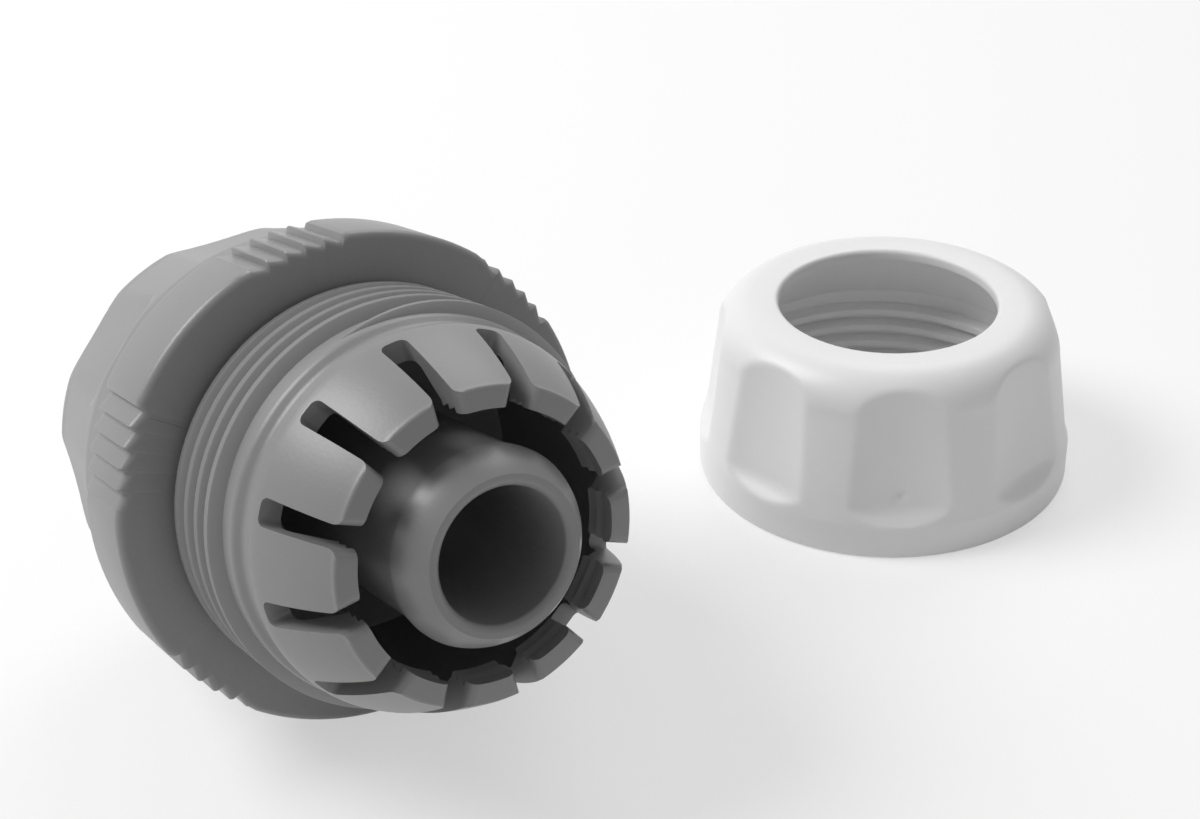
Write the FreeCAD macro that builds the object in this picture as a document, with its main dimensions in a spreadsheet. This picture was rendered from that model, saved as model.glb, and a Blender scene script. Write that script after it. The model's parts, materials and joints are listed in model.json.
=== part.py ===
import FreeCAD, Part
import math
import os
import Sketcher

# Hose mender for 19 mm garden hose: one moulded body with a spigot, a slotted
# collet and an outside thread at each end, and a nut for each thread. Every piece
# is drawn about its own Z axis in mm, then laid where it rests on the floor z = 0.
# The front nut is off and its collet is open; the rear nut is on and has closed its own.

document = FreeCAD.newDocument("hose_mender")

# Sizes. The mender is the same at both ends, so its stations count from the middle
# of the grip flange, and the nuts' stations count from their open rim.
SIZES = [
    ("bore_radius", 6.4),
    ("bore_mouth_chamfer", 0.5),
    ("spigot_wall", 2.7),
    ("barb_height", 0.4),
    ("barb_length", 3.4),
    ("nose_length", 2.0),
    ("nose_drop", 1.4),
    ("spigot_overhang", 2.8),
    ("web_half_thickness", 2.5),
    ("hose_gap", 3.4),
    ("hose_relief", 1.7),
    ("neck_wall", 3.7),
    ("neck_length", 1.7),
    ("thread_step", 0.8),
    ("thread_depth", 1.2),
    ("thread_pitch", 2.4),
    ("thread_crest_width", 0.5),
    ("thread_flank", 0.55),
    ("thread_start_gap", 1.4),
    ("flange_half_thickness", 4.6),
    ("flange_reach", 4.9),
    ("flange_edge_round", 0.8),
    ("collet_base_step", 0.5),
    ("finger_count", 12),
    ("finger_length", 9.4),
    ("finger_tip_thickness", 2.2),
    ("finger_tip_round", 0.4),
    ("finger_bulge_radius", 42.0),
    ("finger_corner_round", 1.5),
    ("slot_width", 2.6),
    ("slot_root_gap", 1.0),
    ("slot_root_round", 0.7),
    ("slot_floor_gap", 0.6),
    ("grip_tooth_pitch", 1.3),
    ("grip_tooth_depth", 0.55),
    ("grip_lead_length", 2.9),
    ("rib_group_count", 6),
    ("rib_count", 5),
    ("rib_pitch_deg", 4.6),
    ("rib_step_deg", 0.5),
    ("rib_depth", 0.75),
    ("rib_crest_drop", 0.1),
    ("thread_clearance", 0.3),
    ("nut_rim_wall", 2.9),
    ("nut_taper", 2.0),
    ("nut_band_height", 4.4),
    ("nut_shoulder_round", 5.0),
    ("nut_edge_round", 0.6),
    ("nut_hole_margin", 0.6),
    ("nut_web_thickness", 1.4),
    ("nut_cone_length", 6.8),
    ("nut_thread_relief", 0.5),
    ("nut_lead_in", 0.8),
    ("nut_home_gap", 0.3),
    ("closed_finger_gap", 0.3),
    ("closed_tip_gap", 0.3),
    ("closed_tooth_rise", 0.6),
    ("pocket_count", 8),
    ("pocket_depth", 1.7),
    ("pocket_hollow_radius", 40.0),
    ("pocket_lean", 1.5),
    ("pocket_swing_deg", 40.0),
    ("mender_roll_deg", 5.0),
    ("front_nut_x", 2.0),
    ("front_nut_y", 72.0),
    ("front_nut_turn_deg", 8.0),
]
RIDGES = 5
GRIP_TEETH = 3
sheet = document.addObject("Spreadsheet::Sheet", "sizes")
for row, (alias, value) in enumerate(SIZES, start=1):
    sheet.set("A%d" % row, alias)
    sheet.set("B%d" % row, str(value))
    sheet.setAlias("B%d" % row, alias)
document.recompute()

# Radii built up outwards from the bore, and stations built up along the axis, each
# an expression in which $ stands for the sheet.
SPIGOT_NECK = "($bore_radius + $spigot_wall)"
SPIGOT = "(%s + $barb_height)" % SPIGOT_NECK
GRIP_CREST = "(%s + $hose_gap)" % SPIGOT
FINGER_TIP = "(%s + $finger_tip_thickness)" % GRIP_CREST
COLLET_INNER = "(%s + $hose_relief)" % GRIP_CREST
NECK = "(%s + $neck_wall)" % COLLET_INNER
COLLET_OUTER = "(%s + $collet_base_step)" % NECK
THREAD_ROOT = "(%s + $thread_step)" % NECK
THREAD_CREST = "(%s + $thread_depth)" % THREAD_ROOT
FLANGE = "(%s + $flange_reach)" % THREAD_CREST
NUT_CREST = "(%s + $thread_clearance)" % THREAD_ROOT
NUT_ROOT = "(%s + $thread_clearance)" % THREAD_CREST
NUT_RIM = "(%s + $nut_rim_wall)" % NUT_ROOT
NUT_WAIST = "(%s - $nut_taper)" % NUT_RIM
NUT_HOLE = "(%s + $nut_hole_margin)" % GRIP_CREST
RIDGE_FOOT = "($thread_crest_width / 2 + $thread_flank)"
THREADED = "(%d * $thread_pitch + %s)" % (RIDGES - 1, RIDGE_FOOT)
FIRST_RIDGE = "($flange_half_thickness + $thread_start_gap)"
NECK_START = "(%s + %s + $thread_step)" % (FIRST_RIDGE, THREADED)
NECK_END = "(%s + $neck_length)" % NECK_START
COLLET_START = "(%s + $collet_base_step)" % NECK_END
COLLET_END = "(%s + $finger_length)" % COLLET_START
SPIGOT_END = "(%s + $spigot_overhang)" % COLLET_END
NUT_FIRST_RIDGE = "($thread_start_gap + $thread_pitch / 2 - $nut_home_gap)"
SEAT_START = "(%s + %s + $nut_thread_relief + $thread_depth)" % (NUT_FIRST_RIDGE, THREADED)
SEAT_END = "(%s + $nut_cone_length)" % SEAT_START
NUT_HEIGHT = "(%s + $nut_web_thickness)" % SEAT_END
NUT_HOME = "($flange_half_thickness + $nut_home_gap)"
CLOSED_TIP = "(%s - $closed_finger_gap)" % NUT_HOLE
CLOSED_BEND = "(%s + %s)" % (NUT_HOME, SEAT_END)
CLOSED_END = "(%s + %s - $closed_tip_gap)" % (NUT_HOME, NUT_HEIGHT)
CLOSED_CREST = "(%s - $finger_tip_thickness)" % CLOSED_TIP


def linked(expression):
    return expression.replace("$", "sizes.")


def number(expression):
    result = sheet.evalExpression(expression.replace("$", ""))
    return float(getattr(result, "Value", result))


def bent_edge(start, end, radius):
    """Arc from start to end that bulges to the right of its way, to the left if negative."""
    half = (end - start).Length / 2
    side = FreeCAD.Vector((end - start).y, (start - end).x, 0).normalize()
    sagitta = abs(radius) - math.sqrt(radius * radius - half * half)
    return Part.Arc(start, (start + end) * 0.5 + side * math.copysign(sagitta, radius), end)


def vertex_at(sketch, edge, point):
    """Number, 1 or 2, of the edge's end that lies at the point."""
    near = sketch.getPoint(edge, 1).distanceToPoint(point)
    return 1 if near < sketch.getPoint(edge, 2).distanceToPoint(point) else 2


def outline(sketch, corners):
    """Closed outline through corners of (x, y, bend), each an expression.

    The bend is the radius of the edge that leaves the corner, and None leaves that
    edge straight.
    """
    points = [FreeCAD.Vector(number(x), number(y), 0) for x, y, bend in corners]
    count = len(points)
    first = sketch.GeometryCount
    for index, (x, y, bend) in enumerate(corners):
        start, end = points[index], points[(index + 1) % count]
        edge = bent_edge(start, end, number(bend)) if bend else Part.LineSegment(start, end)
        sketch.addGeometry(edge, False)
    for index, (x, y, bend) in enumerate(corners):
        edge = first + index
        before = first + (index - 1) % count
        point = points[index]
        here = vertex_at(sketch, edge, point)
        there = vertex_at(sketch, before, point)
        sketch.addConstraint(Sketcher.Constraint("Coincident", before, there, edge, here))
        for axis, rule, place, text in ((-2, "DistanceX", point.x, x), (-1, "DistanceY", point.y, y)):
            if text == "0":
                sketch.addConstraint(Sketcher.Constraint("PointOnObject", edge, here, axis))
                continue
            held = sketch.addConstraint(Sketcher.Constraint(rule, -1, 1, edge, here, place))
            sketch.setExpression("Constraints[%d]" % held, linked(text))
        if bend:
            held = sketch.addConstraint(Sketcher.Constraint("Radius", edge, abs(number(bend))))
            sketch.setExpression("Constraints[%d]" % held, "abs(%s)" % linked(bend))


def new_body(name):
    body = document.addObject("PartDesign::Body", name)
    body.Label = name
    return body


def origin_feature(body, role):
    for feature in body.Origin.OriginFeatures:
        if feature.Role == role:
            return feature
    raise ValueError("the body has no " + role)


def new_sketch(body, name, plane):
    """Sketch of the body on its own XY_Plane, XZ_Plane or YZ_Plane."""
    sketch = body.newObject("Sketcher::SketchObject", name)
    sketch.AttachmentSupport = [(origin_feature(body, plane), "")]
    sketch.MapMode = "FlatFace"
    return sketch


def polar(body, name, originals, count):
    """Copies of features all round the body's Z axis."""
    pattern = body.newObject("PartDesign::PolarPattern", name)
    pattern.Originals = originals
    pattern.Axis = (origin_feature(body, "Z_Axis"), [""])
    pattern.setExpression("Occurrences", count)
    pattern.Angle = 360
    body.Tip = pattern
    return pattern


def ridge(station, crest, root):
    """Corners of one thread ridge in (radius, station), from its near foot to its far foot."""
    half = "$thread_crest_width / 2"
    return [
        (root, "%s - %s" % (station, RIDGE_FOOT), None),
        (crest, "%s - %s" % (station, half), None),
        (crest, "%s + %s" % (station, half), None),
        (root, "%s + %s" % (station, RIDGE_FOOT), None),
    ]


# The mender body is one grey moulding. Each half is revolved, from the middle of the
# grip flange to the spigot's nose. The front fingers stand open, and the rear ones
# are bent in by the rear nut, which is screwed home against the flange.
mender_body = new_body("mender_body")


def barrel_corners():
    """Outside of either half, from the bore to the foot of the collet."""
    corners = [
        ("$bore_radius", "0", None),
        (FLANGE, "0", None),
        (FLANGE, "$flange_half_thickness - $flange_edge_round", "$flange_edge_round"),
        (FLANGE + " - $flange_edge_round", "$flange_half_thickness", None),
        (THREAD_ROOT, "$flange_half_thickness", None),
    ]
    for turn in range(RIDGES):
        station = "%s + %d * $thread_pitch" % (FIRST_RIDGE, turn)
        corners += ridge(station, THREAD_CREST, THREAD_ROOT)
    corners += [(NECK, NECK_START, None), (NECK, NECK_END, None)]
    return corners


def tooth_corners(end, crest, rise):
    """Gripping teeth inside the fingers, from the tips' ends inwards."""
    corners = [(crest, end, None)]
    for tooth in range(1, GRIP_TEETH + 1):
        behind = "%s - %d * $grip_tooth_pitch" % (end, tooth)
        foot = "%s + %d * %s" % (crest, tooth, rise)
        corners.append((foot + " + $grip_tooth_depth", behind, None))
        if tooth < GRIP_TEETH:
            corners.append((foot, behind, None))
    corners.append((COLLET_INNER, behind + " - $grip_lead_length", None))
    return corners


def spigot_corners():
    """Throat, web, spigot and the mouth of the bore."""
    return [
        (COLLET_INNER, "$web_half_thickness", None),
        (SPIGOT_NECK, "$web_half_thickness", None),
        (SPIGOT_NECK, SPIGOT_END + " - $nose_length - $barb_length", None),
        (SPIGOT, SPIGOT_END + " - $nose_length", "2 * $nose_length"),
        (SPIGOT + " - $nose_drop", SPIGOT_END, None),
        ("$bore_radius + $bore_mouth_chamfer", SPIGOT_END, None),
        ("$bore_radius", SPIGOT_END + " - $bore_mouth_chamfer", None),
    ]


def revolve_half(name, corners):
    half = new_sketch(mender_body, name + "_half", "XZ_Plane")
    outline(half, corners)
    barrel = mender_body.newObject("PartDesign::Revolution", name + "_barrel")
    barrel.Profile = half
    barrel.ReferenceAxis = (half, ["V_Axis"])
    barrel.Angle = 360
    document.recompute()


open_fingers = [
    (COLLET_OUTER, COLLET_START, "$finger_bulge_radius"),
    (FINGER_TIP, COLLET_END + " - $finger_tip_round", "$finger_tip_round"),
    (FINGER_TIP + " - $finger_tip_round", COLLET_END, None),
] + tooth_corners(COLLET_END, GRIP_CREST, "0")
revolve_half("front", barrel_corners() + open_fingers + spigot_corners())

closed_fingers = [
    (COLLET_OUTER, COLLET_START, None),
    (CLOSED_TIP, CLOSED_BEND, None),
    (CLOSED_TIP, CLOSED_END + " - $finger_tip_round", "$finger_tip_round"),
    (CLOSED_TIP + " - $finger_tip_round", CLOSED_END, None),
] + tooth_corners(CLOSED_END, CLOSED_CREST, "$closed_tooth_rise")
rear_corners = barrel_corners() + closed_fingers + spigot_corners()
revolve_half("rear", [
    (x, y if y == "0" else "-(%s)" % y, "-(%s)" % bend if bend else None)
    for x, y, bend in rear_corners
])

# Twelve slots cut each end's wall into the fingers of the collet. A slot has soft
# corners at its root and flares at its mouth, which rounds the corners of the tips.
slot_plan = new_sketch(mender_body, "slot_plan", "YZ_Plane")
half_slot = "$slot_width / 2"
root_edge = "$slot_width / 2 - $slot_root_round"
flare_edge = "$slot_width / 2 + $finger_corner_round"
slot_root = COLLET_START + " + $slot_root_gap"
root_end = slot_root + " + $slot_root_round"
flare_foot = COLLET_END + " - $finger_corner_round"
beyond = COLLET_END + " + $spigot_overhang"
outline(slot_plan, [
    (root_edge, slot_root, "$slot_root_round"),
    (half_slot, root_end, None),
    (half_slot, flare_foot, "-$finger_corner_round"),
    (flare_edge, COLLET_END, None),
    (flare_edge, beyond, None),
    ("-(%s)" % flare_edge, beyond, None),
    ("-(%s)" % flare_edge, COLLET_END, "-$finger_corner_round"),
    ("-(%s)" % half_slot, flare_foot, None),
    ("-(%s)" % half_slot, root_end, "$slot_root_round"),
    ("-(%s)" % root_edge, slot_root, None),
])
slot_plan.setExpression("AttachmentOffset.Base.z", linked(SPIGOT + " + $slot_floor_gap"))
slot = mender_body.newObject("PartDesign::Pocket", "slot")
slot.Profile = slot_plan
slot.setExpression("Length", linked(COLLET_OUTER))
slot.Reversed = True
document.recompute()
around = document.addObject("PartDesign::PolarPattern", "slots_around")
around.Axis = (origin_feature(mender_body, "Z_Axis"), [""])
around.setExpression("Occurrences", "sizes.finger_count")
both_ends = document.addObject("PartDesign::Mirrored", "slots_both_ends")
both_ends.MirrorPlane = (origin_feature(mender_body, "XY_Plane"), [""])
slots = mender_body.newObject("PartDesign::MultiTransform", "slots")
slots.Originals = [slot]
slots.Transformations = [around, both_ends]
mender_body.Tip = slots
document.recompute()


def at_angle(radius, angle):
    return ("%s * cos(%s)" % (radius, angle), "%s * sin(%s)" % (radius, angle), None)


# The flange's rim is a hand grip: smooth lobes between groups of stepped ribs. Each
# rib drops in steeply and rises gently to the next, right through the flange.
rib_plan = new_sketch(mender_body, "rib_plan", "XY_Plane")
clear_of_rim = "(%s + $rib_depth)" % FLANGE
rib_valley = "(%s - $rib_depth)" % FLANGE
rib_crest = "(%s - $rib_crest_drop)" % FLANGE
rib_start = "-$rib_count * $rib_pitch_deg / 2"
rib_steps = [at_angle(clear_of_rim, rib_start)]
for rib in range(int(number("$rib_count"))):
    rib_start = "(%d - $rib_count / 2) * $rib_pitch_deg" % rib
    rib_steps.append(at_angle(rib_valley, rib_start + " + $rib_step_deg"))
    rib_steps.append(at_angle(rib_crest, rib_start + " + $rib_pitch_deg"))
rib_steps.append(at_angle(clear_of_rim, rib_start + " + $rib_pitch_deg"))
outline(rib_plan, rib_steps)
rib_group = mender_body.newObject("PartDesign::Pocket", "rib_group")
rib_group.Profile = rib_plan
rib_group.setExpression("Length", "2 * sizes.flange_half_thickness")
rib_group.Midplane = True
document.recompute()
polar(mender_body, "rib_groups", [rib_group], "sizes.rib_group_count")
document.recompute()


# The two nuts are the same moulding, one white and one grey: a cup with an inside
# thread, a cone that closes the collet's fingers, and eight finger pockets outside.
def make_nut(name):
    nut = new_body(name)
    section = new_sketch(nut, name + "_section", "XZ_Plane")
    shape = [
        (NUT_ROOT + " + $nut_lead_in", "0", None),
        (NUT_RIM + " - $nut_edge_round", "0", "$nut_edge_round"),
        (NUT_RIM, "$nut_edge_round", None),
        (NUT_RIM, "$nut_band_height", None),
        (NUT_WAIST, NUT_HEIGHT + " - $nut_shoulder_round", "$nut_shoulder_round"),
        (NUT_WAIST + " - $nut_shoulder_round", NUT_HEIGHT, None),
        (NUT_HOLE + " + $nut_edge_round", NUT_HEIGHT, "$nut_edge_round"),
        (NUT_HOLE, NUT_HEIGHT + " - $nut_edge_round", None),
        (NUT_HOLE, SEAT_END, None),
        (NUT_CREST, SEAT_START, None),
        (NUT_ROOT, SEAT_START + " - $thread_depth", None),
    ]
    for turn in reversed(range(RIDGES)):
        station = "%s + %d * $thread_pitch" % (NUT_FIRST_RIDGE, turn)
        shape += reversed(ridge(station, NUT_CREST, NUT_ROOT))
    shape.append((NUT_ROOT, "$nut_lead_in", None))
    outline(section, shape)
    cup = nut.newObject("PartDesign::Revolution", name + "_cup")
    cup.Profile = section
    cup.ReferenceAxis = (section, ["V_Axis"])
    cup.Angle = 360
    document.recompute()

    pocket_section = new_sketch(nut, name + "_pocket_section", "XZ_Plane")
    floor = NUT_RIM + " - $pocket_depth"
    outside = NUT_RIM + " + $pocket_depth"
    above = NUT_HEIGHT + " + $pocket_depth"
    outline(pocket_section, [
        (floor, "$nut_band_height + $pocket_depth", None),
        (outside, "$nut_band_height - $pocket_depth", None),
        (outside, above, None),
        (floor + " - $pocket_lean", above, None),
    ])
    reach = floor + " + $pocket_hollow_radius"
    swing = FreeCAD.Vector(number(reach), 0, 0)
    top = FreeCAD.Vector(number(reach), number("$pocket_depth"), 0)
    line = pocket_section.addGeometry(Part.LineSegment(swing, top), True)
    pocket_section.addConstraint(Sketcher.Constraint("Vertical", line))
    pocket_section.addConstraint(Sketcher.Constraint("PointOnObject", line, 1, -1))
    held = pocket_section.addConstraint(Sketcher.Constraint("DistanceX", -1, 1, line, 1, swing.x))
    pocket_section.setExpression("Constraints[%d]" % held, linked(reach))
    held = pocket_section.addConstraint(Sketcher.Constraint("DistanceY", line, 1, line, 2, top.y))
    pocket_section.setExpression("Constraints[%d]" % held, "sizes.pocket_depth")
    pocket = nut.newObject("PartDesign::Groove", name + "_pocket")
    pocket.Profile = pocket_section
    pocket.ReferenceAxis = (pocket_section, ["Axis0"])
    pocket.setExpression("Angle", "sizes.pocket_swing_deg")
    pocket.Midplane = True
    document.recompute()
    polar(nut, name + "_pockets", [pocket], "sizes.pocket_count")
    document.recompute()
    return nut


# The rear nut is screwed home, with its ridges in the valleys of the body's thread.
rear_nut = make_nut("rear_nut")
facing_back = FreeCAD.Rotation(FreeCAD.Vector(1, 0, 0), 180)
on_axis = FreeCAD.Placement(FreeCAD.Vector(0, 0, -number(NUT_HOME)), facing_back)

# The mender can't stand, so it lies on its grip flange and on the rear nut's shoulder,
# with its axis in the XZ plane and its front raised.
FINE = 0.02
HALVINGS = 40
roll = FreeCAD.Rotation(FreeCAD.Vector(0, 0, 1), number("$mender_roll_deg"))
body_points = [roll.multVec(point) for point in mender_body.Shape.tessellate(FINE)[0]]
nut_points = [on_axis.multVec(point) for point in rear_nut.Shape.tessellate(FINE)[0]]


def lowest(points, tilt):
    """Height of the lowest point when the axis is raised by the tilt in radians."""
    rise, fall = math.sin(tilt), math.cos(tilt)
    return min(point.z * rise - point.x * fall for point in points)


flat, steep = 0.0, math.pi / 4
for halving in range(HALVINGS):
    tilt = (flat + steep) / 2
    if lowest(nut_points, tilt) > lowest(body_points, tilt):
        flat = tilt
    else:
        steep = tilt
lift = -min(lowest(body_points, tilt), lowest(nut_points, tilt))
leaning = FreeCAD.Rotation(FreeCAD.Vector(0, 1, 0), 90 - math.degrees(tilt))
laid_down = FreeCAD.Placement(FreeCAD.Vector(0, 0, lift), leaning)
rolled = FreeCAD.Placement(FreeCAD.Vector(0, 0, 0), roll)

# The front nut is taken off and stands on its open rim beside the mender's front.
front_nut = make_nut("front_nut")
turned = FreeCAD.Rotation(FreeCAD.Vector(0, 0, 1), number("$front_nut_turn_deg"))
beside = FreeCAD.Vector(number("$front_nut_x"), number("$front_nut_y"), 0)
placed = [
    (mender_body, laid_down.multiply(rolled)),
    (rear_nut, laid_down.multiply(on_axis)),
    (front_nut, FreeCAD.Placement(beside, turned)),
]

# The origin is on the floor, in the middle of the room that the three pieces take.
room = FreeCAD.BoundBox()
for piece, rest in placed:
    piece.Placement = rest
    piece.Shape.tessellate(FINE)
    room.add(piece.Shape.optimalBoundingBox(True, False))
to_origin = FreeCAD.Placement(FreeCAD.Vector(-room.Center.x, -room.Center.y, 0), FreeCAD.Rotation())
for piece, rest in placed:
    piece.Placement = to_origin.multiply(rest)
document.recompute()

for part in document.Objects:
    if "Invalid" in part.State or "Error" in part.State:
        raise RuntimeError(part.Name + " did not build")
os.makedirs("parts", exist_ok=True)
for piece, rest in placed:
    if piece.Shape.isNull() or not piece.Shape.isValid():
        raise RuntimeError(piece.Label + " has no valid shape")
    piece.Shape.exportStep("parts/%s.step" % piece.Label)
    print(piece.Label, "solids", len(piece.Shape.Solids), "volume", round(piece.Shape.Volume))
print("tilt", math.degrees(tilt))
print("flange centre", to_origin.multiply(laid_down).Base, "front nut", front_nut.Placement.Base)
print("room", room)
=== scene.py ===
import json
import math

import bmesh
import bpy
from mathutils import Matrix, Vector


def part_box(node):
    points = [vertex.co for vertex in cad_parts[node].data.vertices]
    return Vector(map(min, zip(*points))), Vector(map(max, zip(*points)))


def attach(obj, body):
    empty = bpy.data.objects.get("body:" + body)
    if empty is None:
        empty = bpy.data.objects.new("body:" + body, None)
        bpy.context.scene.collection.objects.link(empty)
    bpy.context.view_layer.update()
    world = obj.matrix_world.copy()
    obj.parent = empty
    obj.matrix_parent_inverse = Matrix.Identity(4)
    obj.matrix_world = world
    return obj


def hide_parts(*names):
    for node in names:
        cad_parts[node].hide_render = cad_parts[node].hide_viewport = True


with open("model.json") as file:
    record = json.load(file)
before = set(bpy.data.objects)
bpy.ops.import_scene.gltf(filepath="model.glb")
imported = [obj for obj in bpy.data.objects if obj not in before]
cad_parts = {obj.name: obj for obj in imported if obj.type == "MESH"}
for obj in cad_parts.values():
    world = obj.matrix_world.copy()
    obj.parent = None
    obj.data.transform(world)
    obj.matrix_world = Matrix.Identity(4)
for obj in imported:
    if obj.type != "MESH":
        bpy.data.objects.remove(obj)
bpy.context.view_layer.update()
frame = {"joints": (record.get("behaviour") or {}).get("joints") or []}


# Mender body. One hollow piece of grey ABS, injection moulded: a grip flange in the
# middle, and towards each end a screw thread, a collet of twelve fingers and, inside
# it, the spigot that the hose is pushed over. It is drawn in mm about its own Z axis.
MM = 0.001
BORE = 6.4
BORE_MOUTH = 6.9
SPIGOT_NECK = 9.1
SPIGOT = 9.5
SPIGOT_NOSE = 7.6
SPIGOT_END = 31.6
NOSE_LENGTH = 3.3
NOSE_EDGE = 0.25
BARB_LENGTH = 3.4
BARB_TOP = 0.4
WEB_FACE = 2.5
COLLET_THROAT = 16.4
FLANGE_FACE = 4.6
FLANGE = 25.19
FLANGE_ROUND = 0.8
THREAD_ROOT = 19.1
THREAD_DEPTH = 1.2
THREAD_PITCH = 2.4
FIRST_RIDGE = 6.0
RIDGES = 5
NECK = 18.3
NECK_START = 17.2
NECK_END = 18.9
NECK_SLOPE = 0.8
COLLET_OUTER = 18.8
COLLET_START = 19.4
COLLET_END = 28.8
FINGER_TIP = 15.1
FINGER_BULGE = 42.0
TIP_ROUND = 0.4
FLAT_CORNER = math.radians(155)
MOST_CUT = 0.45
GRIP_CREST = 12.9
GRIP_DEPTH = 0.55
GRIP_FOOT = GRIP_CREST + GRIP_DEPTH
GRIP_PITCH = 1.3
GRIP_LEAD_END = 22.0
GRIP_LEAD_BEND = 0.4
GRIP_STEP = 0.02
CLOSED_TIP = 13.2
CLOSED_BEND = 26.1
CLOSED_END = 27.2
CLOSED_CREST = 11.0
CLOSED_LEAN = 1.15
CLOSED_LAG = 0.35
FINGERS = 12
FINGER_COLUMNS = 8
HALF_SLOT = 1.3
HALF_SLOT_AT_TIP = 1.0
SLOT_ROOT = 20.4
SLOT_ROOT_ROUND = 0.7
FINGER_CORNER = 1.0
FINGER_EDGE_ROUND = 0.22
RIB_GROUPS = 6
RIBS = 5
RIB_PITCH = 4.6
RIB_STEP = 0.5
RIB_VALLEY = 24.45
RIB_CREST = 25.1
RIB_ROUND = 0.06
RIB_FLAT_SHARE = 0.04
RIB_KNEE_SHARE = 0.6
RIB_KNEE_HEIGHT = 0.55
RIB_TOP_SHARE = 0.93
LOBE_LIP = 0.15
LOBE_GAP = 0.001
LOBE_END_GAP = 0.02
LOBE_STEPS = 16
FLANGE_HOLE = 17.5
EDGE_STEPS = 5
THREAD_START = 0.3
THREAD_END = 4.52
THREAD_SET_BACK = 0.6
HELIX_STEPS = 90
HELIX_FADE = 1 / 8
HELIX_END_HEIGHT = 0.02
HELIX_END_WIDTH = 0.2
RIDGE_SUNK = 0.2
RIDGE_TOP = 0.25
RIDGE_FOOT = 0.8
RIDGE_UNDER = 0.9
RIDGE_COLUMNS = 144
PARTING_ANGLE = 230.0
PARTING_WIDTH = 0.14
PARTING_HEIGHT = 0.05
WELD = 0.002
SHARP_ANGLE = math.radians(32)


def on_arc(start, end, radius, steps):
    """Points from start to end on an arc that bulges to the right of its way."""
    start, end = Vector(start), Vector(end)
    half = (end - start).length / 2
    side = Vector(((end - start).y, (start - end).x)).normalized()
    centre = (start + end) / 2 - side * math.sqrt(radius ** 2 - half ** 2)
    sweep = (start - centre).angle_signed(end - centre)
    return [
        centre + Matrix.Rotation(-sweep * step / steps, 2) @ (start - centre)
        for step in range(steps + 1)
    ]


def soften(points, cut, looped=False):
    """Cuts each corner of an outline back by up to the cut and rounds it off."""
    soft = []
    for index, point in enumerate(points):
        here = Vector(point)
        before = Vector(points[index - 1])
        after = Vector(points[(index + 1) % len(points)])
        ends = not looped and index in (0, len(points) - 1)
        if ends or (before - here).angle(after - here) > FLAT_CORNER:
            soft.append(here)
            continue
        back = before.lerp(here, 1 - min(cut / (before - here).length, MOST_CUT))
        on = after.lerp(here, 1 - min(cut / (after - here).length, MOST_CUT))
        soft += [back, back.lerp(here, 0.5).lerp(here.lerp(on, 0.5), 0.5), on]
    return soft


def ring(radius, station, angles):
    """Points on a circle about the Z axis."""
    return [(radius * math.cos(a), radius * math.sin(a), station) for a in angles]


def lathe(verts, faces, rows, looped=False):
    """Skins rings of equal length, each to the next, and the last to the first if looped."""
    first, count = len(verts), len(rows[0])
    for row in rows:
        verts.extend(row)
    for index in range(len(rows) if looped else len(rows) - 1):
        a = first + index * count
        b = first + (index + 1) % len(rows) * count
        faces += [(a + j, a + (j + 1) % count, b + (j + 1) % count, b + j) for j in range(count)]


def helix(verts, faces, root, crest, first, start_turn, end_turn):
    """Right-handed thread ridge that stands on the root radius and fades out at both ends."""
    steps = round((end_turn - start_turn) * HELIX_STEPS)
    sunk = math.copysign(RIDGE_SUNK, root - crest)
    base = len(verts)
    # Each point's offset along the axis, share of the height, and 1 where it is sunk.
    section = [
        (-1.1, 0, 1), (-1.0, 0, 0), (-0.5, 0.92, 0), (-0.38, 1, 0),
        (0.38, 1, 0), (0.5, 0.92, 0), (1.0, 0, 0), (1.1, 0, 1),
    ]
    for step in range(steps + 1):
        turn = start_turn + (end_turn - start_turn) * step / steps
        from_end = min(turn - start_turn, end_turn - turn)
        fade = math.sin(min(1, HELIX_END_HEIGHT + from_end / HELIX_FADE) * math.pi / 2)
        width = HELIX_END_WIDTH + (1 - HELIX_END_WIDTH) * fade
        angle = turn * 2 * math.pi
        for offset, height, below in section:
            radius = root + (crest - root) * height * fade + sunk * below
            station = first + turn * THREAD_PITCH + offset * width
            verts.append((radius * math.cos(angle), radius * math.sin(angle), station))
    count = len(section)
    for step in range(steps):
        a, b = base + step * count, base + (step + 1) * count
        faces += [(a + j, a + (j + 1) % count, b + (j + 1) % count, b + j) for j in range(count)]
    faces.append(tuple(base + j for j in range(count)))
    faces.append(tuple(base + steps * count + j for j in range(count)))


even = [column * 2 * math.pi / RIDGE_COLUMNS for column in range(RIDGE_COLUMNS)]


def ring_ridge(verts, faces, root, crest, station):
    """Plain ring on the root radius, for a turn of a thread that stays hidden."""
    sunk = root + math.copysign(RIDGE_SUNK, root - crest)
    ridge = soften([
        (sunk, station - RIDGE_UNDER), (root, station - RIDGE_FOOT), (crest, station - RIDGE_TOP),
        (crest, station + RIDGE_TOP), (root, station + RIDGE_FOOT), (sunk, station + RIDGE_UNDER),
    ], cut=0.1, looped=True)
    lathe(verts, faces, [ring(r, t, even) for r, t in ridge], looped=True)


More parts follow.
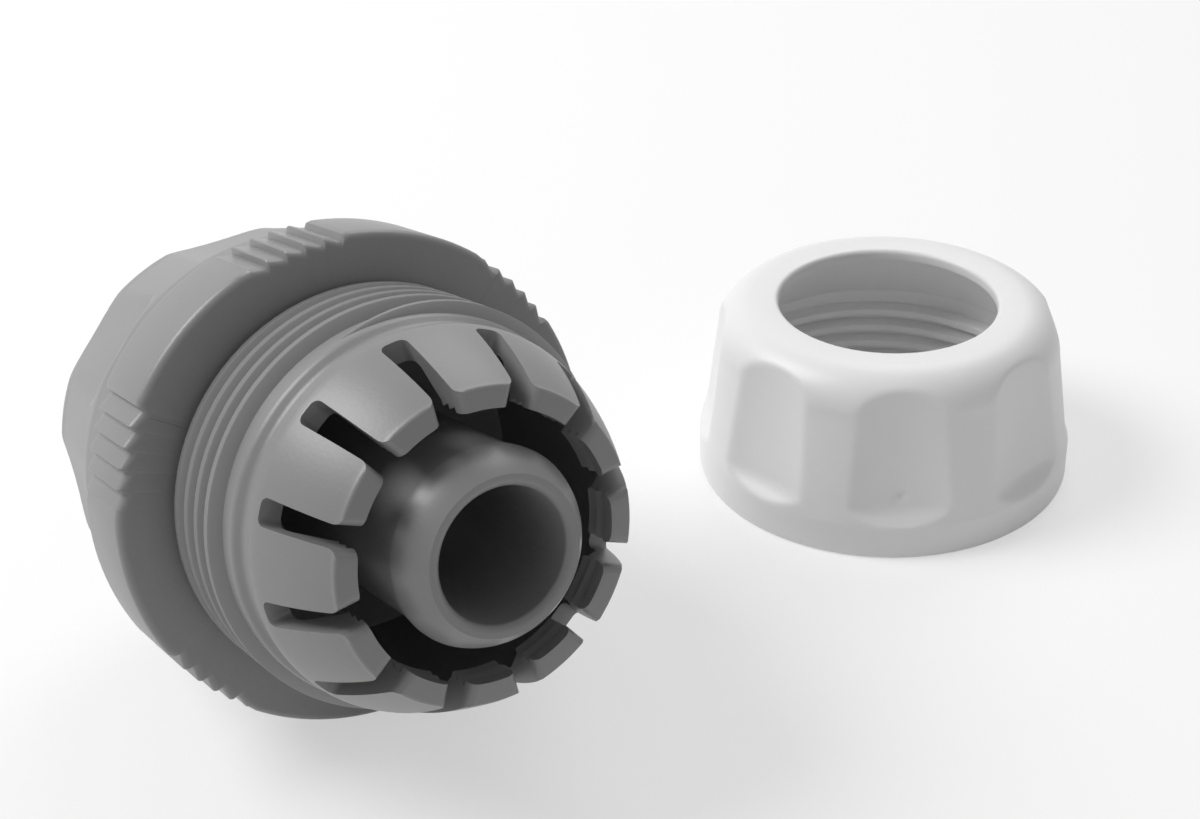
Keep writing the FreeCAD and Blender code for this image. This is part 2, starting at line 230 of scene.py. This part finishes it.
def half_slot_at(station):
    """Half the width of a slot: round at its root, narrower higher up, flared at the tips."""
    if station < SLOT_ROOT + SLOT_ROOT_ROUND:
        up = SLOT_ROOT_ROUND - max(station - SLOT_ROOT, 0)
        return HALF_SLOT - SLOT_ROOT_ROUND + math.sqrt(max(SLOT_ROOT_ROUND ** 2 - up ** 2, 0))
    share = (station - SLOT_ROOT - SLOT_ROOT_ROUND) / (COLLET_END - SLOT_ROOT - SLOT_ROOT_ROUND)
    half = HALF_SLOT + (HALF_SLOT_AT_TIP - HALF_SLOT) * share
    past = max(station - (COLLET_END - FINGER_CORNER), 0)
    return half + FINGER_CORNER - math.sqrt(max(FINGER_CORNER ** 2 - past ** 2, 0))


def column_angles(radius, station):
    """One column on each slot's middle, then the columns of the finger that follows it."""
    pitch = 2 * math.pi / FINGERS
    edge = pitch / 2 - math.asin(half_slot_at(station) / radius)
    angles = []
    for finger in range(FINGERS):
        middle = (finger + 0.5) * pitch
        angles.append(finger * pitch)
        for j in range(FINGER_COLUMNS):
            angles.append(middle + edge * (2 * j / (FINGER_COLUMNS - 1) - 1))
    return angles


# The fingers' outsides, as curves of (radius, station).
tip_start = (FINGER_TIP, COLLET_END - TIP_ROUND)
open_outside = on_arc((COLLET_OUTER, COLLET_START), tip_start, FINGER_BULGE, steps=60)
open_outside += on_arc(tip_start, (FINGER_TIP - TIP_ROUND, COLLET_END), TIP_ROUND, steps=12)[1:]
tip_start = (CLOSED_TIP, CLOSED_END - TIP_ROUND)
closed_outside = [Vector((COLLET_OUTER, COLLET_START)), Vector((CLOSED_TIP, CLOSED_BEND))]
closed_outside += on_arc(tip_start, (CLOSED_TIP - TIP_ROUND, CLOSED_END), TIP_ROUND, steps=6)


def radius_on(curve, station):
    """Radius of a curve of (radius, station) points at a station."""
    for low, high in zip(curve, curve[1:]):
        if low.y <= station <= high.y:
            share = (station - low.y) / max(high.y - low.y, 1e-6)
            return low.x + (high.x - low.x) * share
    return curve[-1].x


# The fingers' rows, each as the outside's station and the inside's (radius, station):
# the root of the slots, the lead, three teeth, and close rows round the tip's corners.
root_rows = [SLOT_ROOT + SLOT_ROOT_ROUND * (1 - math.cos(step * math.pi / 8)) for step in range(5)]
tooth_1, tooth_2, tooth_3 = (COLLET_END - GRIP_PITCH * tooth for tooth in (3, 2, 1))
open_fingers = [(t, (COLLET_THROAT, t)) for t in root_rows] + [
    (22.0, (COLLET_THROAT, GRIP_LEAD_END - GRIP_LEAD_BEND)),
    (23.1, (COLLET_THROAT - 0.3, GRIP_LEAD_END + GRIP_LEAD_BEND)),
    (24.1, (GRIP_FOOT, tooth_1)),
    (24.9, (GRIP_CREST, tooth_1)),
    (25.7, (GRIP_FOOT, tooth_2)),
    (26.4, (GRIP_CREST, tooth_2)),
    (26.9, (GRIP_FOOT, tooth_3)),
    (27.3, (GRIP_CREST, tooth_3)),
]
tip_rows = [
    (27.7, 27.75), (28.0, 28.0), (28.25, 28.25), (28.42, 28.45), (28.56, 28.6),
    (28.69, 28.72), (28.77, 28.78), (COLLET_END, COLLET_END),
]
open_fingers += [(outer, (GRIP_CREST, inner)) for outer, inner in tip_rows]
closed_inside = [Vector((COLLET_THROAT, SLOT_ROOT))]
for tooth in (3, 2, 1, 0):
    station = CLOSED_END - GRIP_PITCH * tooth
    crest = CLOSED_CREST + (CLOSED_LEAN - GRIP_DEPTH) * tooth
    closed_inside.append(Vector((crest + (GRIP_DEPTH if tooth == 3 else 0), station)))
    if tooth in (2, 1):
        closed_inside.append(Vector((crest + GRIP_DEPTH, station + GRIP_STEP)))
closed_fingers = [(t, (radius_on(closed_inside, t), t)) for t in root_rows]
outside_lag = CLOSED_LAG / (3 * GRIP_PITCH)
closed_fingers += [(t - outside_lag * (CLOSED_END - t), (r, t)) for r, t in closed_inside[1:-1]]
for from_tip in (CLOSED_END - CLOSED_BEND, TIP_ROUND, 0.2, 0.06, 0):
    station = CLOSED_END - from_tip
    closed_fingers.append((station, (radius_on(closed_inside, station), station)))

# Throat, web, spigot and bore, as (radius, station) from the root of the slots to the middle.
nose_start = SPIGOT_END - NOSE_LENGTH
inner_low = soften([
    (COLLET_THROAT, SLOT_ROOT), (COLLET_THROAT, WEB_FACE), (SPIGOT_NECK, WEB_FACE),
    (SPIGOT_NECK, nose_start - BARB_LENGTH), (SPIGOT, nose_start - BARB_TOP),
], cut=0.5)
inner_low += on_arc((SPIGOT, nose_start), (SPIGOT_NOSE, SPIGOT_END), 2 * NOSE_LENGTH, steps=6)
inner_low += soften([
    (SPIGOT_NOSE - NOSE_EDGE, SPIGOT_END), (BORE_MOUTH, SPIGOT_END),
    (BORE, SPIGOT_END - (BORE_MOUTH - BORE)), (BORE, 0),
], cut=0.2)


def body_half(verts, faces, round_edges, outside, fingers):
    """One half, open at its middle: outside, fingers, throat, web, spigot and bore."""
    wide = FINGERS * (FINGER_COLUMNS + 1)
    outer_low = soften([
        (THREAD_ROOT, 0), (THREAD_ROOT, NECK_START - NECK_SLOPE), (NECK, NECK_START),
        (NECK, NECK_END), (COLLET_OUTER, COLLET_START), (radius_on(outside, SLOT_ROOT), SLOT_ROOT),
    ], cut=0.35)
    lathe(verts, faces, [ring(r, t, column_angles(r, t)) for r, t in outer_low])
    outer_root = len(verts) - wide
    outer_rows, inner_rows = [outer_root], []
    for station, (inner_radius, inner_station) in fingers:
        if station > SLOT_ROOT:
            outer_rows.append(len(verts))
            radius = radius_on(outside, station)
            verts.extend(ring(radius, station, column_angles(radius, station)))
            inner_rows.append(len(verts))
            columns = column_angles(inner_radius, inner_station)
            verts.extend(ring(inner_radius, inner_station, columns))
    inner_rows.insert(0, len(verts))
    spigot_side = (SPIGOT + COLLET_THROAT) / 2
    lathe(verts, faces, [
        ring(r, t, column_angles(r, t if r > spigot_side else 0)) for r, t in inner_low
    ])
    for finger in range(FINGERS):
        left = finger * (FINGER_COLUMNS + 1) + 1
        right = left + FINGER_COLUMNS - 1
        for low, high in zip(range(len(outer_rows) - 1), range(1, len(outer_rows))):
            o_low, o_high = outer_rows[low], outer_rows[high]
            i_low, i_high = inner_rows[low], inner_rows[high]
            for j in range(left, right):
                faces.append((o_low + j, o_low + j + 1, o_high + j + 1, o_high + j))
                faces.append((i_low + j, i_high + j, i_high + j + 1, i_low + j + 1))
            for j in (left, right):
                faces.append((o_low + j, o_high + j, i_high + j, i_low + j))
                round_edges += [(o_low + j, o_high + j), (i_low + j, i_high + j)]
        o_tip, i_tip = outer_rows[-1], inner_rows[-1]
        for j in range(left, right):
            faces.append((o_tip + j, o_tip + j + 1, i_tip + j + 1, i_tip + j))
        o_root, i_root = outer_rows[0], inner_rows[0]
        middle = left - 1
        before = (middle - 1) % wide
        for a, b in ((before, middle), (middle, left)):
            faces.append((o_root + a, o_root + b, i_root + b, i_root + a))
            round_edges += [(o_root + a, o_root + b), (i_root + a, i_root + b)]


def grip_outline():
    """The flange's rim as (angle, radius): groups of ribs that step in and rise, and lobes."""
    rim = []
    span = 2 * math.pi / RIB_GROUPS
    pitch = math.radians(RIB_PITCH)
    step = math.radians(RIB_STEP)
    rise = RIB_CREST - RIB_VALLEY
    for group in range(RIB_GROUPS):
        start = group * span - pitch * RIBS / 2
        rim.append((start - LOBE_GAP, FLANGE - LOBE_LIP))
        for rib in range(RIBS):
            low = start + rib * pitch
            rim.append((low + step, RIB_VALLEY))
            rim.append((low + step + pitch * RIB_FLAT_SHARE, RIB_VALLEY))
            rim.append((low + pitch * RIB_KNEE_SHARE, RIB_VALLEY + rise * RIB_KNEE_HEIGHT))
            rim.append((low + pitch * RIB_TOP_SHARE, RIB_CREST))
            rim.append((low + pitch, RIB_CREST - RIB_ROUND))
        lobe_start = start + pitch * RIBS
        lobe = span - pitch * RIBS
        for part in range(1, LOBE_STEPS):
            rim.append((lobe_start + lobe * part / LOBE_STEPS, FLANGE))
        rim.append((lobe_start + lobe - LOBE_END_GAP, FLANGE))
    return rim


def build_mesh(name, verts, faces, round_edges=(), placement=Matrix()):
    """Mesh object in metres from points in mm, with soft edges where they are asked for."""
    mesh = bpy.data.meshes.new(name)
    mesh.from_pydata([placement @ (Vector(v) * MM) for v in verts], [], faces)
    shape = bmesh.new()
    shape.from_mesh(mesh)
    shape.verts.ensure_lookup_table()
    marked = [shape.edges.get((shape.verts[a], shape.verts[b])) for a, b in round_edges]
    loose = [v for v in shape.verts if not v.link_faces]
    bmesh.ops.bevel(
        shape, geom=[e for e in marked if e], offset=FINGER_EDGE_ROUND * MM, segments=2,
        profile=0.5, affect="EDGES", clamp_overlap=True,
    )
    bmesh.ops.delete(shape, geom=[v for v in loose if v.is_valid], context="VERTS")
    bmesh.ops.remove_doubles(shape, verts=shape.verts, dist=WELD * MM)
    bmesh.ops.recalc_face_normals(shape, faces=shape.faces)
    shape.to_mesh(mesh)
    shape.free()
    mesh.shade_smooth()
    mesh.set_sharp_from_angle(angle=SHARP_ANGLE)
    piece = bpy.data.objects.new(name, mesh)
    bpy.context.scene.collection.objects.link(piece)
    return piece


# The closed rear half is built first and turned over, and the open front half follows.
verts, faces, round_edges = [], [], []
body_half(verts, faces, round_edges, closed_outside, closed_fingers)
verts = [(x, -y, -z) for x, y, z in verts]
body_half(verts, faces, round_edges, open_outside, open_fingers)
thread_crest = THREAD_ROOT + THREAD_DEPTH
helix(
    verts, faces, THREAD_ROOT, thread_crest, FIRST_RIDGE - THREAD_SET_BACK * THREAD_PITCH,
    THREAD_START, THREAD_END,
)
for ridge in range(RIDGES):
    ring_ridge(verts, faces, THREAD_ROOT, thread_crest, -(FIRST_RIDGE + ridge * THREAD_PITCH))

rim = grip_outline()
flange_rows = [ring(FLANGE_HOLE, FLANGE_FACE, [angle for angle, radius in rim])]
for step in range(EDGE_STEPS + 1):
    bend = step * math.pi / 2 / EDGE_STEPS
    inset = FLANGE_ROUND * (1 - math.sin(bend))
    station = FLANGE_FACE - FLANGE_ROUND * (1 - math.cos(bend))
    flange_rows.append([
        ((r - inset) * math.cos(a), (r - inset) * math.sin(a), station) for a, r in rim
    ])
flange_rows += [[(x, y, -z) for x, y, z in row] for row in reversed(flange_rows)]
lathe(verts, faces, flange_rows, looped=True)

# A faint parting line of the mould crosses the flange's front face on both sides.
for angle in (math.radians(PARTING_ANGLE), math.radians(PARTING_ANGLE + 180)):
    out = Vector((math.cos(angle), math.sin(angle), 0))
    side = Vector((-math.sin(angle), math.cos(angle), 0)) * PARTING_WIDTH / 2
    base = len(verts)
    for radius in (THREAD_ROOT, RIB_VALLEY - FLANGE_ROUND):
        foot = out * radius + Vector((0, 0, FLANGE_FACE - PARTING_HEIGHT))
        verts += [foot - side, foot + side, foot + Vector((0, 0, 2 * PARTING_HEIGHT))]
    bar = [(0, 2, 5, 3), (1, 4, 5, 2), (0, 3, 4, 1), (0, 1, 2), (3, 5, 4)]
    faces += [tuple(base + corner for corner in face) for face in bar]

hinge = frame["joints"][0]
flange_centre = Vector(hinge["pos_m"])
axis = -Vector(hinge["axis"])
ROLL = 5.0
lying = (
    Matrix.Translation(flange_centre)
    @ Matrix.Rotation(math.atan2(axis.x, axis.z), 4, "Y")
    @ Matrix.Rotation(math.radians(ROLL), 4, "Z")
)
mender_body = build_mesh("mender_body_moulding", verts, faces, round_edges, lying)
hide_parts("mender_body")
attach(mender_body, "mender")


def colour(code):
    """Linear colour of an sRGB hex value."""
    levels = [int(code[i:i + 2], 16) / 255 for i in (1, 3, 5)]
    return [v / 12.92 if v <= 0.04045 else ((v + 0.055) / 1.055) ** 2.4 for v in levels] + [1.0]


def add_node(tree, kind, settings=(), values=(), links=()):
    """Adds a node, sets its fields and its sockets' values, and links sockets to it."""
    node = tree.nodes.new(kind)
    for field, value in dict(settings).items():
        setattr(node, field, value)
    for socket, value in dict(values).items():
        node.inputs[socket].default_value = value
    for socket, source in dict(links).items():
        tree.links.new(source, node.inputs[socket])
    return node


# Moulded ABS takes the fine spark-eroded grain of its mould: it shines softly and
# breaks the highlight up a little. The melt's flow leaves the faintest cloudiness.
CLOUD_SCALE = 90.0
SPECK_SCALE = 2600.0
GRAIN_DEPTH = 0.00004


def moulded_abs(name, pale, deep, roughness, grain):
    """Satin plastic whose colour clouds faintly from pale to deep, with a fine grain."""
    material = bpy.data.materials.new(name)
    material.use_nodes = True
    tree = material.node_tree
    shader = tree.nodes["Principled BSDF"]
    place = add_node(tree, "ShaderNodeTexCoord").outputs["Object"]
    clouds = add_node(
        tree, "ShaderNodeTexNoise", values={"Scale": CLOUD_SCALE, "Detail": 3.0},
        links={"Vector": place},
    )
    blend = add_node(
        tree, "ShaderNodeMix", settings={"data_type": "RGBA"},
        links={"Factor": clouds.outputs["Fac"]},
    )
    blend.inputs["A"].default_value = colour(pale)
    blend.inputs["B"].default_value = colour(deep)
    specks = add_node(
        tree, "ShaderNodeTexNoise", values={"Scale": SPECK_SCALE, "Detail": 2.0},
        links={"Vector": place},
    )
    bump = add_node(
        tree, "ShaderNodeBump", values={"Strength": grain, "Distance": GRAIN_DEPTH},
        links={"Height": specks.outputs["Fac"]},
    )
    tree.links.new(blend.outputs["Result"], shader.inputs["Base Color"])
    tree.links.new(bump.outputs["Normal"], shader.inputs["Normal"])
    shader.inputs["Roughness"].default_value = roughness
    shader.inputs["IOR"].default_value = 1.5
    return material


grey_abs = moulded_abs("grey_moulded_abs", "#8a8a8a", "#808080", 0.38, 0.35)
mender_body.data.materials.append(grey_abs)


# Rear nut. A cup of the same grey ABS, screwed down over the rear collet, whose cone
# squeezes the fingers on to the hose. Eight scalloped finger pockets are moulded in
# its wall above a plain band, and its own thread starts a little inside the open rim.
NUT_HEIGHT = 22.6
NUT_RIM = 23.5
NUT_BAND = 4.4
NUT_WAIST = 21.5
NUT_SHOULDER = 5.0
NUT_EDGE = 0.6
NUT_HOLE = 13.5
NUT_SEAT_START = 14.4
NUT_SEAT_END = 21.2
NUT_THREAD_CREST = 19.4
NUT_THREAD_ROOT = 20.6
NUT_FIRST_RIDGE = 2.3
NUT_LEAD_IN = 0.8
NUT_THREAD_START = -0.4
NUT_THREAD_END = 4.1
NUT_SEAT_CHAMFER = 1.2
NUT_FOOT = 2.0
NUT_WALL_ROWS = 32
NUT_CROWDING = 0.55
POCKETS = 8
POCKET_DEPTH = 1.7
POCKET_HOLLOW = 30.0
POCKET_LEAN = 2.1
POCKET_EDGE = 0.25
POCKET_FOOT_ROUND = 0.6
POCKET_COLUMNS = 44
GATE_ANGLE = math.radians(315)
GATE_HEIGHT = 7.8
GATE_SIZE = 0.9
GATE_DEPTH = 0.5


def soft_min(a, b, width):
    """The smaller of two values, with a soft change from one to the other."""
    near = max(width - abs(a - b), 0) / width
    return min(a, b) - near * near * width / 4


def pocket_radius(angle, height):
    """Distance of a pocket's scalloped floor from the nut's axis."""
    floor = NUT_RIM - POCKET_DEPTH
    foot = NUT_BAND + POCKET_DEPTH
    lean = floor - POCKET_LEAN * (height - foot) / (NUT_HEIGHT + POCKET_DEPTH - foot)
    inward = -soft_min(-lean, -(floor + foot - height), POCKET_FOOT_ROUND)
    swing = floor + POCKET_HOLLOW
    off = (angle + math.pi / POCKETS) % (2 * math.pi / POCKETS) - math.pi / POCKETS
    reach = swing - inward
    return swing * math.cos(off) - math.sqrt(reach ** 2 - (swing * math.sin(off)) ** 2)


def nut_mesh(verts, faces, threaded):
    """Nut on its open rim, with a helix inside if it is threaded and plain rings if not."""
    columns = POCKETS * POCKET_COLUMNS
    angles = [column * 2 * math.pi / columns for column in range(columns)]
    foot = NUT_BAND - NUT_FOOT
    outside = on_arc((NUT_RIM - NUT_EDGE, 0), (NUT_RIM, NUT_EDGE), NUT_EDGE, steps=3)
    outside += [Vector((NUT_RIM, NUT_EDGE + (foot - NUT_EDGE) * s / 3)) for s in range(1, 4)]
    outside += [Vector((NUT_RIM, foot + NUT_FOOT * s / 5)) for s in range(1, 6)]
    waist = Vector((NUT_WAIST, NUT_HEIGHT - NUT_SHOULDER))
    for row in range(1, NUT_WALL_ROWS + 1):
        share = row / NUT_WALL_ROWS
        share *= 1 - NUT_CROWDING + NUT_CROWDING * share
        outside.append(Vector((NUT_RIM, NUT_BAND)).lerp(waist, share))
    top = (NUT_WAIST - NUT_SHOULDER, NUT_HEIGHT)
    outside += on_arc(waist, top, NUT_SHOULDER, steps=18)[1:]
    rows = []
    for radius, height in outside:
        rows.append([])
        for angle in angles:
            r = soft_min(radius, pocket_radius(angle, height), POCKET_EDGE)
            off_gate = math.hypot((angle - GATE_ANGLE) * r, height - GATE_HEIGHT)
            r -= GATE_DEPTH * max(0, 1 - off_gate / GATE_SIZE)
            rows[-1].append((r * math.cos(angle), r * math.sin(angle), height))
    hole = (NUT_HOLE, NUT_HEIGHT - NUT_EDGE)
    hole_edge = on_arc((NUT_HOLE + NUT_EDGE, NUT_HEIGHT), hole, NUT_EDGE, steps=5)
    rows += [ring(r, z, angles) for r, z in hole_edge]
    inside = soften([
        hole, (NUT_HOLE, NUT_SEAT_END), (NUT_THREAD_CREST, NUT_SEAT_START),
        (NUT_THREAD_ROOT, NUT_SEAT_START - NUT_SEAT_CHAMFER), (NUT_THREAD_ROOT, NUT_LEAD_IN),
        (NUT_THREAD_ROOT + NUT_LEAD_IN, 0), (NUT_RIM - NUT_EDGE, 0),
    ], cut=0.15)[1:-1]
    rows += [ring(r, z, angles) for r, z in inside]
    lathe(verts, faces, rows, looped=True)
    if threaded:
        helix(
            verts, faces, NUT_THREAD_ROOT, NUT_THREAD_CREST, NUT_FIRST_RIDGE,
            NUT_THREAD_START, NUT_THREAD_END,
        )
        return
    for ridge in range(RIDGES):
        station = NUT_FIRST_RIDGE + ridge * THREAD_PITCH
        ring_ridge(verts, faces, NUT_THREAD_ROOT, NUT_THREAD_CREST, station)


REAR_NUT_STATION = 4.9
screwed_on = (
    Matrix.Translation(flange_centre)
    @ Matrix.Rotation(math.atan2(axis.x, axis.z), 4, "Y")
    @ Matrix.Translation((0, 0, -REAR_NUT_STATION * MM))
    @ Matrix.Rotation(math.pi, 4, "X")
)
verts, faces = [], []
nut_mesh(verts, faces, threaded=False)
rear_nut = build_mesh("rear_nut_moulding", verts, faces, placement=screwed_on)
rear_nut.data.materials.append(grey_abs)
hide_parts("rear_nut")
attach(rear_nut, "rear_nut_body")


# Front nut. The same moulding in white ABS, unscrewed and stood on its open rim
# beside the mender, so that its thread and the underside of its cone can be seen.
low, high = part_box("front_nut")
TURNED = 8.0
standing = (
    Matrix.Translation(((low.x + high.x) / 2, (low.y + high.y) / 2, 0))
    @ Matrix.Rotation(math.radians(TURNED), 4, "Z")
)
verts, faces = [], []
nut_mesh(verts, faces, threaded=True)
front_nut = build_mesh("front_nut_moulding", verts, faces, placement=standing)
# White ABS from the same mould: bright, with a broad dull sheen and finer grain.
white_abs = moulded_abs("white_moulded_abs", "#ececec", "#e7e7e7", 0.40, 0.25)
front_nut.data.materials.append(white_abs)
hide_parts("front_nut")
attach(front_nut, "mender")


# Studio. A plain pale floor that keeps the pieces' shadows, a soft lamp high on their
# left, a weaker one high behind them, and a surround that looks white and lights dimly.
FLOOR_HALF = 3.0
floor_mesh = bpy.data.meshes.new("studio_floor")
corners = [
    (x * FLOOR_HALF, y * FLOOR_HALF, 0) for x, y in ((-1, -1), (1, -1), (1, 1), (-1, 1))
]
floor_mesh.from_pydata(corners, [], [(0, 1, 2, 3)])
floor = bpy.data.objects.new("studio_floor", floor_mesh)
bpy.context.scene.collection.objects.link(floor)


def seen_directly(tree):
    """1 for camera, glossy and transmission rays, and 0 for all others."""
    path = add_node(tree, "ShaderNodeLightPath")
    seen = path.outputs["Is Camera Ray"]
    for other in ("Is Glossy Ray", "Is Transmission Ray"):
        seen = add_node(
            tree, "ShaderNodeMath", settings={"operation": "MAXIMUM"},
            links={0: seen, 1: path.outputs[other]},
        ).outputs[0]
    return seen


# Matt white paper, lifted towards white where it is looked at, so that it ends in a
# white background and its shadows stay pale. The light it throws back is not lifted.
PAPER_LIFT = 0.52
paper = bpy.data.materials.new("matt_white_paper")
paper.use_nodes = True
sheet = paper.node_tree
matt = sheet.nodes["Principled BSDF"]
matt.inputs["Base Color"].default_value = colour("#fcfcfc")
matt.inputs["Roughness"].default_value = 0.95
glow = add_node(sheet, "ShaderNodeEmission", values={"Color": colour("#ffffff"), "Strength": 1.0})
lift = add_node(
    sheet, "ShaderNodeMath", settings={"operation": "MULTIPLY"}, values={1: PAPER_LIFT},
    links={0: seen_directly(sheet)},
)
lifted = add_node(
    sheet, "ShaderNodeMixShader",
    links={0: lift.outputs[0], 1: matt.outputs[0], 2: glow.outputs[0]},
)
sheet.links.new(lifted.outputs[0], sheet.nodes["Material Output"].inputs["Surface"])
floor_mesh.materials.append(paper)


AMONG_PIECES = (0.0, 0.0, 0.02)


def soft_lamp(name, place, size, power):
    """Round lamp that looks at the pieces."""
    lamp = bpy.data.lights.new(name, "AREA")
    lamp.shape = "DISK"
    lamp.size = size
    lamp.energy = power
    stand = bpy.data.objects.new(name, lamp)
    stand.location = place
    way = Vector(AMONG_PIECES) - Vector(place)
    stand.rotation_euler = way.to_track_quat("-Z", "Y").to_euler()
    bpy.context.scene.collection.objects.link(stand)


soft_lamp("key_lamp", (-0.31, -0.36, 0.58), size=0.42, power=3.9)
soft_lamp("back_lamp", (-0.30, 0.42, 0.62), size=0.50, power=1.5)

SURROUND_LIGHT = 0.27
world = bpy.data.worlds.new("white_surround")
bpy.context.scene.world = world
world.use_nodes = True
sky = world.node_tree
sky.nodes.clear()
dim = add_node(
    sky, "ShaderNodeBackground", values={"Color": colour("#ffffff"), "Strength": SURROUND_LIGHT},
)
white = add_node(sky, "ShaderNodeBackground", values={"Color": colour("#ffffff"), "Strength": 1.0})
either = add_node(
    sky, "ShaderNodeMixShader",
    links={0: seen_directly(sky), 1: dim.outputs[0], 2: white.outputs[0]},
)
add_node(sky, "ShaderNodeOutputWorld", links={"Surface": either.outputs[0]})

# Camera. It looks down on the mender's open end from the front, and its shifted lens
# stands for the crop of the photograph.
AZIMUTH = math.radians(-38.45)
ELEVATION = math.radians(30.35)
DISTANCE = 0.1899
AIM_RIGHT = 0.04099
AIM_UP = 0.01973
AIM_HEIGHT = 0.012
CROP_RIGHT = 0.1275
CROP_UP = 0.0167
FOCAL_LENGTH = 54.0
SENSOR_WIDTH = 36.0
outwards = Vector((math.cos(AZIMUTH), math.sin(AZIMUTH), 0))
towards = outwards * math.cos(ELEVATION) + Vector((0, 0, math.sin(ELEVATION)))
rightwards = Vector((-math.sin(AZIMUTH), math.cos(AZIMUTH), 0))
aim = Vector((flange_centre.x, flange_centre.y, AIM_HEIGHT))
aim += rightwards * AIM_RIGHT + towards.cross(rightwards) * AIM_UP
lens = bpy.data.cameras.new("photo_camera")
lens.sensor_width = SENSOR_WIDTH
lens.lens = FOCAL_LENGTH
lens.shift_x = -CROP_RIGHT
lens.shift_y = -CROP_UP
lens.clip_start = 0.01
camera = bpy.data.objects.new("photo_camera", lens)
camera.location = aim + towards * DISTANCE
camera.rotation_euler = (-towards).to_track_quat("-Z", "Y").to_euler()
bpy.context.scene.collection.objects.link(camera)
bpy.context.scene.camera = camera
bpy.context.scene.view_settings.view_transform = "Standard"
